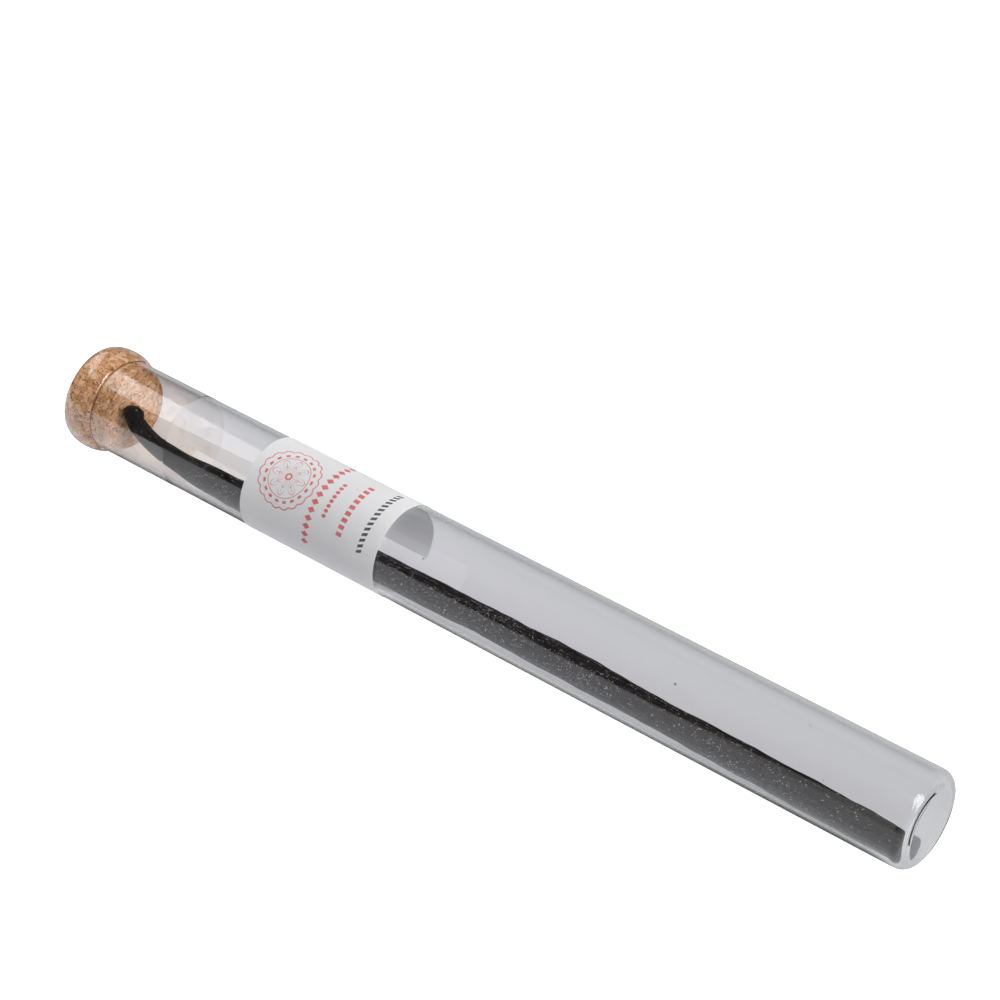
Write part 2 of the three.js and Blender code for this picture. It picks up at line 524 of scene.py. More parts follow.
@dataclass(frozen=True)
class Rosette:
    """A printed flower in a scalloped ring."""

    along: float = 8.9  # its middle, from the label's edge nearer the mouth
    round_tube: float = 4.7  # its middle, round the tube from the top
    radius: float = 6.85  # out to the scalloped ring
    scallops: int = 18
    bow: float = 0.45  # depth of one bow
    beads: float = 0.78  # where the row of beads is, as a share of the radius
    ring: float = 0.665  # where the inner ring is, as such a share
    petals: int = 8  # how many petals the flower has; half of it goes into the rose curve
    # How far out the petals and the smaller ones in them reach, as such shares.
    tips: Pair = (0.6, 0.36)
    veins: Pair = (0.9, 0.5)  # where the veins start, and where they end as such a share
    heart: float = 0.62
    fullness: float = 0.6  # less makes fuller petals
    line: float = 0.13  # half the width of a printed line
    bold: Pair = (0.3, 0.2)  # the same for the beads and the heart

    def masks(self, across: Field, round_tube: Field, blur: float) -> dict[Ink, Field]:
        """Where the rosette has ink.

        Args:
            across: distance from the label's edge nearer the mouth.
            round_tube: distance round the tube from the top.
            blur: softness of the printed edge.

        Returns:
            One mask for each of its inks.
        """
        du, dv = across - self.along, round_tube - self.round_tube
        distance = (du * du + dv * dv).apply("SQRT")
        angle = dv.apply("ARCTAN2", du)

        def drawn(at: object, half: float) -> Field:
            """A line at a distance from the middle, by half its width."""
            return abs(distance - at).below(half, blur)

        bows = abs((angle * (self.scallops / 2)).apply("SINE"))
        rim = drawn(bows * self.bow + (self.radius - self.bow), self.line)
        gaps = (angle * self.scallops).apply("COSINE").below(-0.1, 0.25)
        beads = drawn(self.beads * self.radius, self.bold[0]) * gaps
        ring = drawn(self.ring * self.radius, 0.8 * self.line)
        heart = drawn(self.heart, self.bold[1])

        petal = abs((angle * (self.petals / 2)).apply("COSINE")).apply("POWER", self.fullness)
        outline = drawn(petal * (self.tips[0] * self.radius), 0.9 * self.line)
        inner = drawn(petal * (self.tips[1] * self.radius), 0.8 * self.line)
        spoke = abs((angle * (self.petals / 2)).apply("SINE")) * distance
        along_vein = distance.above(self.veins[0], blur) * distance.below(self.veins[1] * self.radius, blur)
        vein = spoke.below(0.22, 0.1) * along_vein
        return {Ink.PALE_RED: outline.most(inner, vein, ring), Ink.RED: rim.most(beads, heart)}


@dataclass(frozen=True)
class LabelPaper:
    """Smooth white paper, plain or with the print."""

    white: Colour = (0.92, 0.89, 0.93)
    worn: float = 0.93  # how bright its darker fibres are beside it
    rows: tuple[PrintedRow, ...] = (
        PrintedRow(17.3, -6.4, 22.4, 1.9, 1.75, 0.78, Mark.LOZENGE, Ink.RED),
        PrintedRow(20.5, 0.2, 8.8, 1.0, 1.1, 0.72, Mark.DOT, Ink.RED),
        PrintedRow(25.3, -2.4, 13.4, 1.35, 1.5, 0.58, Mark.BAR, Ink.RED),
        PrintedRow(30.9, -4.6, 16.6, 1.25, 1.2, 0.55, Mark.SLANT, Ink.DARK),
    )
    rosette: Rosette = Rosette()
    cover: float = 0.93  # how well the inks cover the paper
    edge_blur: float = 0.06  # softness of the printed edges
    depth: float = 0.6  # how far light wanders in the paper, which shows pale where it is lit from behind
    fibre: float = 0.01

    def material(self, name: str, size: Pair, top: float, printed: bool) -> Material:
        """Mixes the paper.

        Args:
            name: the material's name.
            size: the label's length along the tube and round it.
            top: where the top of the tube is, round the label from its first edge.
            printed: True for the printed face.

        Returns:
            The material.
        """
        material, bench, shader = new_material(name)
        place = bench.place()
        fibres = bench.mottle(place, scale=1400.0, contrast=1.8)
        shade = bench.mottle(place, scale=45.0, contrast=1.2)
        worn = tuple(self.worn * part for part in self.white)
        skin = bench.mix(fibres * 0.4 + shade * 0.3, self.white, worn)
        if printed:
            chart = bench.parts("XYZ", bench.node("UVMap", uv_map="paper").outputs[0])
            spot = (chart[0] * size[0], chart[1] * size[1] - top, self.edge_blur)
            layers = [*self.rosette.masks(*spot).items(), *((row.ink, row.mask(*spot)) for row in self.rows)]
            for ink, mask in layers:
                skin = bench.mix(mask * self.cover, skin, ink.value)
        bench.fill(shader, {
            "Base Color": skin,
            "Roughness": 0.62,
            "Specular IOR Level": 0.35,
            "Subsurface Weight": 1.0,
            "Subsurface Radius": (1.0, 1.0, 1.0),
            "Subsurface Scale": self.depth * MM,
        })
        bench.relief(shader, fibres, self.fibre, 0.5)
        return material


# ---- Shapes ----


def arc(centre: Pair, reach: Pair, start: float, end: float, steps: int) -> Section:
    """Points of an elliptical arc in a section.

    Args:
        centre: its centre, as (along the tube, out from the axis).
        reach: its half axes along and out.
        start: first angle in degrees; 0 points along the tube and 90 points out.
        end: last angle.
        steps: how many pieces it is cut into.

    Returns:
        The points, ends included.
    """
    angles = [math.radians(start + (end - start) * i / steps) for i in range(steps + 1)]
    return [(centre[0] + reach[0] * math.cos(a), centre[1] + reach[1] * math.sin(a)) for a in angles]


def run(start: Pair, end: Pair, steps: int, margin: float = 0.3) -> Section:
    """Points inside a straight stretch of a section, with one close to each end to keep its shading straight.

    Args:
        start: the stretch's first point, left out.
        end: its last point, left out.
        steps: how many pieces the rest is cut into.
        margin: how far the outer points are from the ends.

    Returns:
        The points between.
    """
    length = math.dist(start, end)
    shares = [margin / length + (1 - 2 * margin / length) * i / steps for i in range(steps + 1)]
    return [(start[0] + (end[0] - start[0]) * s, start[1] + (end[1] - start[1]) * s) for s in shares]


def turned(section: Section, steps: int) -> BMesh:
    """Spins a section, which starts and ends on the axis, into a closed solid.

    Args:
        section: points as (along the tube, out from the axis).
        steps: sides of the solid.

    Returns:
        The mesh, with its faces pointing out.
    """
    bm = bmesh.new()
    points = [bm.verts.new((along, 0.0, out)) for along, out in section]
    edges = [bm.edges.new(pair) for pair in zip(points, points[1:])]
    bmesh.ops.spin(
        bm, geom=points + edges, cent=(0, 0, 0), axis=(1, 0, 0), angle=TURN, steps=steps, use_merge=True
    )
    bmesh.ops.remove_doubles(bm, verts=bm.verts[:], dist=1e-5)
    bmesh.ops.recalc_face_normals(bm, faces=bm.faces[:])
    return bm


def thickened(bm: BMesh, thickness: float) -> None:
    """Gives a sheet that lies round the tube its thickness, away from the axis, with sharp rims.

    Args:
        bm: the sheet.
        thickness: of the sheet.
    """
    bmesh.ops.recalc_face_normals(bm, faces=bm.faces[:])
    straight = max(bm.faces, key=lambda face: face.calc_center_median().x)
    if straight.normal.dot(Vector((0, *straight.calc_center_median().yz))) > 0:
        bmesh.ops.reverse_faces(bm, faces=bm.faces[:])
    bmesh.ops.solidify(bm, geom=bm.faces[:], thickness=thickness)
    bmesh.ops.recalc_face_normals(bm, faces=bm.faces[:])
    for edge in bm.edges:
        edge.smooth = edge.calc_face_angle(0.0) < RIM_ANGLE


def polar(point: Vector) -> Pair:
    """The angle from the top of the tube over its front, and the distance from the axis."""
    return math.atan2(-point.y, point.z), math.hypot(point.y, point.z)


def added(name: str, data: ID) -> Object:
    """Makes an object and adds it to the scene.

    Args:
        name: the object's name.
        data: its mesh, lamp or camera.

    Returns:
        The object.
    """
    made = bpy.data.objects.new(name, data)
    bpy.context.scene.collection.objects.link(made)
    return made


def finished(name: str, bm: BMesh, lay: Matrix, *looks: Material) -> Object:
    """Lays a mesh down in its place and makes it an object.

    Args:
        name: the piece's name.
        bm: its mesh in the tube's frame, which is freed.
        lay: the matrix from the tube's frame to its place, in metres.
        looks: its materials.

    Returns:
        The object, at the origin and unturned.
    """
    bmesh.ops.transform(bm, matrix=lay, verts=bm.verts[:])
    for face in bm.faces:
        face.smooth = True
    mesh = bpy.data.meshes.new(name)
    bm.to_mesh(mesh)
    bm.free()
    for look in looks:
        mesh.materials.append(look)
    return added(name, mesh)


def drift(along: float, period: float, start: Pair) -> float:
    """Noise along a line, by the length in which it changes and where in the noise it starts."""
    return noise.noise(Vector((along / period, *start)))


@dataclass(frozen=True)
class Ripple:
    """Noise that closes round a piece, from about -1 to 1."""

    fineness: float  # how fast it changes round the piece
    period: float = 1.0  # the length in which it changes along the piece
    start: Triple = (0.0, 0.0, 0.0)  # where in the noise it starts

    def at(self, angle: float, along: float, bend: Pair = (0.0, 0.0)) -> float:
        """Finds the noise at a place.

        Args:
            angle: place round the piece.
            along: place along it.
            bend: how far the noise is shifted there.

        Returns:
            The noise.
        """
        ring = Vector((math.cos(angle), math.sin(angle), 0.0))
        side, up, start = self.start
        shift = Vector((side + bend[0], up + bend[1], start + along / self.period))
        return noise.noise(ring * self.fineness + shift)


@dataclass(frozen=True)
class GlassTube:
    """The tube: a straight wall with a flared collar at its mouth and a rounded, shut end."""

    length: float = 206.5  # from the mouth to the shut end
    radius: float = 10.0
    wall: float = 0.9
    floor: float = 1.2  # thickness of the shut end
    corner_outside: float = 2.7  # rounding of the shut end
    corner_inside: float = 1.9  # the same inside
    collar_bulge: float = 1.3  # how far the collar stands out
    collar_length: float = 7.2  # its length along the tube
    collar_turn: float = 12.6  # where its bow meets the neck, in degrees from its side towards the shut end
    neck_fillet: float = 0.3  # rounding of the groove behind it
    rest_flat: float = 0.1  # depth of the two small flats that it rests on
    sides: int = 240

    @property
    def bore(self) -> float:
        """The inside radius."""
        return self.radius - self.wall

    @property
    def collar_half(self) -> float:
        """Half of the collar's length."""
        return self.collar_length / 2

    def lying(self) -> Matrix:
        """Lays the tube's own frame down on the floor, touching it at the collar and near the shut end.

        Returns:
            The matrix to its place, in metres.
        """
        half = self.collar_half
        footing = self.length - self.corner_outside - half
        slope = math.asin(self.collar_bulge / footing)
        lift = (self.radius + self.collar_bulge) * math.cos(slope) + half * math.sin(slope) - self.rest_flat
        reach = self.length * math.cos(slope) + (self.radius - self.corner_outside) * math.sin(slope)
        far_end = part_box("glass_tube")[1].x / MM
        place = Matrix.Translation((far_end - reach, 0.0, lift))
        return Matrix.Scale(MM, 4) @ place @ Matrix.Rotation(slope, 4, "Y")

    def groove(self, gap: float) -> Section:
        """The rounded groove behind the collar in section.

        Args:
            gap: how far off the glass it is drawn.

        Returns:
            The points, from the collar's bow to the straight wall.
        """
        half = self.collar_half
        side = math.radians(self.collar_turn)
        outward = Vector((math.cos(side) / half, math.sin(side) / self.collar_bulge)).normalized()
        middle = (half * (1 + math.cos(side)) + self.neck_fillet * outward.x, self.radius + self.neck_fillet)
        start = 180 + math.degrees(math.atan2(outward.y, outward.x))
        return arc(middle, (self.neck_fillet - gap,) * 2, start, 270, steps=6)

    def room(self, along: float) -> float:
        """Finds the inside radius, which gets less where the shut end is rounded.

        Args:
            along: place along the tube.

        Returns:
            The radius there.
        """
        past = max(0.0, along - (self.length - self.floor - self.corner_inside))
        corner = math.sqrt(max(0.0, self.corner_inside**2 - past**2))
        return self.bore - self.corner_inside + corner

    def section(self) -> Section:
        """Draws the wall in section.

        Returns:
            The points, from the middle of the shut end's inside to the middle of its outside.
        """
        inner_end = self.length - self.floor
        inner_flat = self.bore - self.corner_inside
        outer_flat = self.radius - self.corner_outside
        half = self.collar_half
        corner_start = self.length - self.corner_outside

        base_inside = [(inner_end, 0.0), *run((inner_end, 0.0), (inner_end, inner_flat), steps=5)]
        inside = arc((inner_end - self.corner_inside, inner_flat), (self.corner_inside,) * 2, 0, 90, steps=18)
        lip = arc((self.wall, self.radius), (self.wall,) * 2, -90, -180, steps=8)
        bow = arc((half, self.radius), (half, self.collar_bulge), 180, self.collar_turn, steps=28)
        groove = self.groove(0.0)
        outside = arc((corner_start, outer_flat), (self.corner_outside,) * 2, 90, 0, steps=26)
        base_outside = [*run((self.length, outer_flat), (self.length, 0.0), steps=5), (self.length, 0.0)]
        return [
            *base_inside, *inside, *run(inside[-1], lip[0], steps=24), *lip, *bow[1:], *groove[1:],
            *run(groove[-1], outside[0], steps=24), *outside, *base_outside,
        ]

    def build(self, look: Material) -> Object:
        """Makes the tube, with the flats where it rests.

        Args:
            look: its material.

        Returns:
            The tube.
        """
        tube = finished("clear_tube", turned(self.section(), self.sides), self.lying(), look)
        for corner in tube.data.vertices:
            corner.co.z = max(corner.co.z, 0.0)
        return tube


@dataclass(frozen=True)
class CorkStopper:
    """The stopper, a hair wider than the bore, so that it is squeezed into the glass."""

    glass: GlassTube
    inset: float = 0.3  # from the mouth to its outer end
    length: float = 10.4
    squeeze: float = 0.05  # how far it reaches into the wall
    edge: float = 0.45  # rounding of both of its edges
    pits: float = 0.22  # how deep the pits in its ends are
    pit_size: float = 0.8  # how wide they are
    pit_start: float = 0.35  # how strong the noise is where a pit starts
    sides: int = 200

    def section(self) -> Section:
        """Draws the stopper in section.

        Returns:
            The points, from the middle of its outer end to the middle of its inner end.
        """
        near, far = self.inset, self.inset + self.length
        flat = self.glass.bore + self.squeeze - self.edge
        outer_end, inner_end = (near, 0.0), (far, 0.0)
        mouth_edge = arc((near + self.edge, flat), (self.edge,) * 2, 180, 90, steps=5)
        inner_edge = arc((far - self.edge, flat), (self.edge,) * 2, 90, 0, steps=5)
        return [
            outer_end, *run(outer_end, (near, flat), steps=36), *mouth_edge,
            *run(mouth_edge[-1], inner_edge[0], steps=30), *inner_edge,
            *run((far, flat), inner_end, steps=36), inner_end,
        ]

    def roughen(self, bm: BMesh) -> None:
        """Sinks small pits into both ends, between the granules.

        Args:
            bm: the stopper's mesh.
        """
        middle = self.inset + self.length / 2
        for vert in bm.verts:
            if self.length / 2 - abs(vert.co.x - middle) > self.edge:
                continue
            where = vert.co / self.pit_size
            lump = noise.turbulence(where, 3, False, amplitude_scale=0.5, frequency_scale=2.1)
            depth = self.pits * max(0.0, lump - self.pit_start)
            vert.co.x += math.copysign(depth, middle - vert.co.x)

    def build(self, look: Material) -> Object:
        """Makes the stopper.

        Args:
            look: its material.

        Returns:
            The stopper.
        """
        bm = turned(self.section(), self.sides)
        self.roughen(bm)
        return finished("pressed_cork", bm, self.glass.lying(), look)


@dataclass(frozen=True)
class Station:
    """The pod's section at one place."""

    along: float  # its middle along the tube
    side: float  # its middle to the back, +Y
    up: float  # its middle above the tube's axis
    half: float


@dataclass(frozen=True)
class CuredPod:
    """The pod: a long, flattened, creased body with a blunt, hooked stem end."""

    glass: GlassTube
    # Its sections, from the stem end to the tip.
    stations: tuple[Station, ...] = (
        Station(13.9, -3.1, 4.3, 2.6),
        Station(13.8, -3.1, 1.4, 2.4),
        Station(17.2, -2.9, -2.4, 2.35),
        Station(24.0, -2.6, -4.6, 2.8),
        Station(40.0, -2.6, -5.45, 3.85),
        Station(90.0, -2.1, -5.65, 3.9),
        Station(126.0, -2.0, -5.3, 4.0),
        Station(150.0, -2.6, -5.15, 3.8),
        Station(174.0, -3.3, -4.95, 3.95),
        Station(204.4, -3.9, -4.8, 3.9),
    )
    flatness: float = 0.76  # thickness over width
    lean: Triple = (0.0, -0.45, -0.9)  # the direction of its thickness
    samples: int = 4000  # pieces in which its length is measured
    steps: int = 860  # cuts along it
    eased: float = 0.25  # the share of the cuts' spacing that gets closer towards the ends
    sides: int = 104  # cuts round it
    # The share of its length over which the stem end closes, and the power of its curve.
    stem_end: Pair = (0.012, 2.0)
    tip_end: Pair = (0.005, 3.5)  # the same at the tip; a greater power is blunter
    wave: float = 0.075  # depth of the slow swellings
    crease: float = 0.088  # depth of the creases, as a share of half the width
    bending: float = 0.35  # how far the creases wander round the pod
    bends: tuple[float, Pair] = (22.0, (3.1, 0.4))  # the length in which they do, and its start in the noise
    # The same of the swellings, after how much each counts.
    swells: tuple[tuple[float, float, Pair], ...] = ((1.0, 8.5, (7.7, 1.9)), (0.5, 3.1, (2.2, 5.9)))
    thread: float = 0.026  # height of the fine threads
    waves: Ripple = Ripple(1.9, 26.0)  # the noise of its form
    folds: Ripple = Ripple(3.3, 34.0, (0.0, 0.0, 4.0))  # the noise of the deep creases
    fold: Pair = (0.9, 0.10)  # their share of the depth, and how wide they are
    wrinkles: Ripple = Ripple(6.5, 11.0, (0.0, 0.0, 9.0))  # the noise of the fine creases
    wrinkle: Pair = (0.42, 0.16)  # their share of the depth, and how wide they are
    threads: Ripple = Ripple(13.0, 5.0, (0.0, 0.0, 17.0))  # the noise of the fine threads
    clearance: float = 0.06  # the least gap that it keeps to the glass

    def route(self, share: float) -> tuple[Vector, float]:
        """The middle of the pod's section and half its width, on a smooth curve through the stations.

        Args:
            share: how far along the pod, from 0 to 1, with equal shares between stations.

        Returns:
            The point in the tube's frame, and half of the width there.
        """
        rows = [Vector((s.along, s.side, s.up, s.half)) for s in self.stations]
        place = min(share * (len(rows) - 1), len(rows) - 1 - 1e-9)
        i = int(place)
        before = rows[i - 1] if i > 0 else rows[0] * 2 - rows[1]
        after = rows[i + 2] if i + 2 < len(rows) else rows[-1] * 2 - rows[-2]
        level = [before, rows[i], rows[i + 1], after]
        knots = [0.0]
        for low, high in zip(level, level[1:]):
            knots.append(knots[-1] + max((high.xyz - low.xyz).length, 1e-3) ** 0.5)
        t = knots[1] + (place - i) * (knots[2] - knots[1])
        for pairs, low, high in ((3, 0, 1), (2, 0, 2), (1, 1, 2)):
            level = [
                level[k].lerp(level[k + 1], (t - knots[k + low]) / (knots[k + high] - knots[k + low]))
                for k in range(pairs)
            ]
        return level[0].xyz, level[0].w

    def spine(self) -> list[tuple[Vector, Vector, Vector, float, float]]:
        """The pod's middle line, cut into steps.

        Returns:
            For each step, the middle, the directions of its width and its thickness, half its width, and
            the length from the stem end.
        """
        fine = [self.route(i / self.samples) for i in range(self.samples + 1)]
        lengths = [0.0]
        for (low, _), (high, _) in zip(fine, fine[1:]):
            lengths.append(lengths[-1] + (high - low).length)
        total, made, i = lengths[-1], [], 0
        lean = Vector(self.lean).normalized()
        for step in range(self.steps + 1):
            slow_ends = (1 - math.cos(math.pi * step / self.steps)) / 2
            target = total * (self.eased * slow_ends + (1 - self.eased) * step / self.steps)
            while i < len(lengths) - 2 and lengths[i + 1] < target:
                i += 1
            blend = (target - lengths[i]) / (lengths[i + 1] - lengths[i])
            middle = fine[i][0].lerp(fine[i + 1][0], blend)
            half = fine[i][1] + (fine[i + 1][1] - fine[i][1]) * blend
            tangent = (fine[i + 1][0] - fine[i][0]).normalized()
            thin = (lean - tangent * lean.dot(tangent)).normalized()
            made.append((middle, tangent.cross(thin), thin, half, target))
        return made

    def opening(self, length: float, total: float) -> float:
        """Finds how far the section has opened near an end.

        Args:
            length: place along the pod from the stem end.
            total: its whole length.

        Returns:
            0 at the very end, and 1 where the section is fully open.
        """
        at_stem = length < total / 2
        share, power = self.stem_end if at_stem else self.tip_end
        from_end = (length if at_stem else total - length) / (share * total)
        return 1.0 if from_end >= 1 else max(0.0, 1 - (1 - from_end) ** power) ** (1 / power)

    def relief(self, angle: float, length: float) -> float:
        """The skin's height as a factor on the radius.

        Args:
            angle: place round the pod.
            length: place along it from the stem end.

        Returns:
            1 on a ridge and less in a crease.
        """
        bend = self.bending * drift(length, *self.bends)
        swell = sum(share * drift(length, period, start) for share, period, start in self.swells)
        formed = self.waves.at(angle, length, (bend, 0.0)) + 0.8 * swell
        creased = 0.0
        for ripple, bends, (depth, width) in (
            (self.folds, (0.0, bend), self.fold), (self.wrinkles, (bend, bend), self.wrinkle)
        ):
            creased += depth * math.exp(-((ripple.at(angle, length, bends) / width) ** 2))
        thread = self.thread * self.threads.at(angle, length)
        return 1 + self.wave * formed - self.crease * creased + thread

    def build(self, look: Material) -> Object:
        """Makes the pod from a flat grid that is wrapped round its middle line and joined along the seam.

        Args:
            look: its material.

        Returns:
            The pod.
        """
        spine = self.spine()
        total = spine[-1][4]
        bm = bmesh.new()
        chart = bm.loops.layers.uv.new("skin")
        bmesh.ops.create_grid(bm, x_segments=self.steps, y_segments=self.sides, size=1.0, calc_uvs=True)
        for vert in bm.verts:
            middle, wide, thin, half, length = spine[round((vert.co.x + 1) / 2 * self.steps)]
            angle = math.pi * vert.co.y
            reach = half * self.opening(length, total) * self.relief(angle, length)
            across = wide * (reach * math.cos(angle))
            vert.co = middle + across + thin * (reach * self.flatness * math.sin(angle))
            out = polar(vert.co)[1]
            limit = self.glass.room(vert.co.x) - self.clearance
            if out > limit:
                vert.co.yz = vert.co.yz * (limit / out)
        around = TURN * spine[self.steps // 2][3] * (1 + self.flatness) / 2
        for face in bm.faces:
            for loop in face.loops:
                loop[chart].uv = Vector((loop[chart].uv.x * total, loop[chart].uv.y * around))
        bmesh.ops.remove_doubles(bm, verts=bm.verts[:], dist=1e-4)
        bmesh.ops.recalc_face_normals(bm, faces=bm.faces[:])
        return finished("cured_pod", bm, self.glass.lying(), look)


@dataclass(frozen=True)
class PodCrystals:
    """Pale needles and grains that sit on the pod's upper side in loose patches."""

    pod: CuredPod
    patches: int = 170
    each: int = 10  # how many crystals a patch has
    # The least, the greatest and the likeliest place of a patch, as shares of the pod's length.
    homes: Triple = (0.08, 0.97, 0.5)
    # The middle direction of the patches round the pod in radians, and how much it varies.
    facing: Pair = (-2.3, 0.55)
    spread: float = 2.4  # how far a patch reaches along the pod
    width: float = 0.35  # how far it reaches round the pod, in radians
    tilts: Triple = (1.0, 0.8, 0.3)  # how much a needle's direction varies along the pod, across and outward
    longest: float = 0.5
    thickness: Pair = (0.03, 0.07)  # the least and the greatest radius of a needle
    ends: int = 8  # how many steps of the pod stay bare at each end
    seed: int = 7

    def build(self, look: Material) -> Object:
        """Makes the crystals as small closed cones, half sunk in the skin.

        Args:
            look: their material.

        Returns:
            The crystals, as one piece.
        """
        draw = random.Random(self.seed)
        spine = self.pod.spine()
        total = spine[-1][4]
        bm = bmesh.new()
        for _ in range(self.patches):
            home = draw.triangular(*self.homes)
            facing = draw.gauss(*self.facing)
            for _ in range(self.each):
                share = home + draw.gauss(0, self.spread) / total
                step = min(max(round(share * self.pod.steps), self.ends), self.pod.steps - self.ends)
                middle, wide, thin, half, length = spine[step]
                angle = facing + draw.gauss(0, self.width)
                reach = half * self.pod.relief(angle, length)
                out = wide * math.cos(angle) + thin * (self.pod.flatness * math.sin(angle))
                size = self.longest * draw.uniform(0.2, 1.0) ** 2
                across = out.cross(Vector((1, 0, 0))).normalized()
                along_tilt, across_tilt, out_tilt = (draw.gauss(0, tilt) for tilt in self.tilts)
                turn = Vector((along_tilt, 0, 0)) + across * across_tilt + out * out_tilt
                upright = turn.to_track_quat("Z", "Y").to_matrix().to_4x4()
                thick = draw.uniform(*self.thickness)
                bmesh.ops.create_cone(
                    bm, cap_ends=True, segments=5, radius1=thick, radius2=0.4 * thick, depth=size + 0.05,
                    matrix=Matrix.Translation(middle + out * reach) @ upright,
                )
        return finished("pod_crystals", bm, self.pod.glass.lying(), look)


@dataclass(frozen=True)
class PaperLabel:
    """The label: a band of paper wrapped round the tube, open at the back."""

    glass: GlassTube
    start: float = 49.5  # its edge nearer the mouth
    length: float = 35.0  # its size along the tube
    gap: float = 0.02  # the gap that the glue takes
    thickness: float = 0.1
    back_edge: float = 134.0  # degrees from the top of the tube over its back
    front_edge: float = 164.0  # degrees from the top over its front
    paper: LabelPaper = LabelPaper()

    def looks(self) -> list[Material]:
        """Mixes its two materials.

        Returns:
            The printed face's material and the plain one.
        """
        wrap = self.back_edge + self.front_edge
        round_tube = math.radians(wrap) * (self.glass.radius + self.gap)
        top = round_tube * self.back_edge / wrap
        names = (("printed_paper", True), ("plain_paper", False))
        return [self.paper.material(name, (self.length, round_tube), top, printed) for name, printed in names]

    def build(self) -> Object:
        """Makes the label from a flat grid that is bent round the tube and thickened.

        Returns:
            The label.
        """
        bm = bmesh.new()
        bm.loops.layers.uv.new("paper")
        bmesh.ops.create_grid(bm, x_segments=40, y_segments=180, size=1.0, calc_uvs=True)
        inner = self.glass.radius + self.gap
        for vert in bm.verts:
            along = self.start + self.length * (vert.co.x + 1) / 2
            share = (vert.co.y + 1) / 2
            angle = math.radians(-self.back_edge + (self.back_edge + self.front_edge) * share)
            vert.co = Vector((along, -inner * math.sin(angle), inner * math.cos(angle)))
        thickened(bm, self.thickness)
        for face in bm.faces:
            middle = face.calc_center_median()
            outward = face.normal.dot(Vector((0, middle.y, middle.z)).normalized())
            face.material_index = 0 if outward > 0.5 else 1
        return finished("wrapped_label", bm, self.glass.lying(), *self.looks())


@dataclass(frozen=True)
class SealFilm:
    """The clear film that is shrunk over the collar and the first part of the tube."""

    glass: GlassTube
    gap: float = 0.012  # the least gap between film and glass
    thickness: float = 0.025
    rim: float = 64.0  # degrees round the collar's bow from its crest to the film's edge near the mouth
    landing: float = 8.3  # where its straight part starts
    calming: Pair = (2.2, 2.0)  # how far before that the pleats start to go, and over what length
    reach: float = 27.85  # from the mouth to the middle of its far edge
    slant: float = 0.6  # how much farther its far edge reaches on one side than in the middle
    slant_side: float = 150.0  # degrees from the top of the tube over its front to that side
    uneven: float = 0.12  # how much its far edge wanders
    edge_noise: Ripple = Ripple(4.0)  # the noise by which it does
    pleat: float = 0.05  # height of the pleats on the collar
    # The fine and the broad noise of the pleats, and how much of each goes in.
    pleats: tuple[tuple[float, Ripple], ...] = (
        (0.6, Ripple(40.0, 3.0)), (0.5, Ripple(7.0, 2.6, (0.0, 4.0, 0.0)))
    )
    ripple: float = 0.01  # height of the ripples on the straight part
    ripples: Ripple = Ripple(5.0, 3.0, (3.0, 0.0, 0.0))
    lift: float = 0.3  # under the collar it is open up to this height over the floor
    feather: float = 0.2  # length over which it thins out towards its far edge
    edge_left: float = 0.3  # the share of its height that is left at that edge
    sides: int = 360

    def section(self) -> Section:
        """Draws the film's inner face in section.

        Returns:
            The points, from its edge near the mouth to its far edge.
        """
        half = self.glass.collar_half
        reach = (half + self.gap, self.glass.collar_bulge + self.gap)
        bow = arc((half, self.glass.radius), reach, 90 + self.rim, self.glass.collar_turn, steps=30)
        groove = self.glass.groove(self.gap)
        end = (self.reach, groove[-1][1])
        return [*bow, *groove[1:], *run(groove[-1], end, steps=36, margin=0.2), end]

    def rise(self, along: float, angle: float) -> float:
        """How far the film stands off its smooth form, pleated on the collar and calmer on the tube.

        Args:
            along: place along the tube.
            angle: place round it.

        Returns:
            The height, never negative.
        """
        pleated = self.pleat * max(0.0, sum(share * layer.at(angle, along) for share, layer in self.pleats))
        rippled = self.ripple * (1 + self.ripples.at(angle, along))
        before, over = self.calming
        calm = min(1.0, max(0.0, (along - self.landing + before) / over))
        return pleated * (1 - calm) + rippled * calm

    def farther(self, angle: float) -> float:
        """Finds how much farther than its middle reach the far edge is.

        Args:
            angle: place round the tube.

        Returns:
            The difference there.
        """
        slanted = self.slant * math.cos(angle - math.radians(self.slant_side))
        return slanted + self.uneven * self.edge_noise.at(angle, 0.0)

    def feathered(self, bm: BMesh) -> None:
        """Thins the film out towards its far edge.

        Args:
            bm: the thickened film.
        """
        smooth = self.glass.radius + self.gap
        for vert in bm.verts:
            angle, out = polar(vert.co)
            to_edge = self.reach + self.farther(angle) - vert.co.x
            if to_edge < self.feather:
                kept = self.edge_left + (1 - self.edge_left) * max(0.0, to_edge) / self.feather
                vert.co.yz = vert.co.yz * ((smooth + (out - smooth) * kept) / out)

    def build(self, look: Material) -> Object:
        """Makes the film from a spun sheet, which is pleated, opened where the collar rests and thickened.

        Args:
            look: its material.

        Returns:
            The film.
        """
        bm = turned(self.section(), self.sides)
        for vert in bm.verts:
            along = vert.co.x
            angle, out = polar(vert.co)
            raised = (out + self.rise(along, angle)) / out
            if along > self.landing:
                vert.co.x += self.farther(angle) * (along - self.landing) / (self.reach - self.landing)
            vert.co.yz = vert.co.yz * raised
        lay = self.glass.lying()
        upright = lay.inverted()
        bmesh.ops.bisect_plane(
            bm, geom=bm.verts[:] + bm.edges[:] + bm.faces[:], dist=1e-5, clear_inner=True,
            plane_co=upright @ Vector((0, 0, self.lift * MM)), plane_no=upright.to_3x3() @ Vector((0, 0, 1)),
        )
        thickened(bm, self.thickness)
        self.feathered(bm)
        return finished("clear_seal", bm, lay, look)


# ---- Studio ----


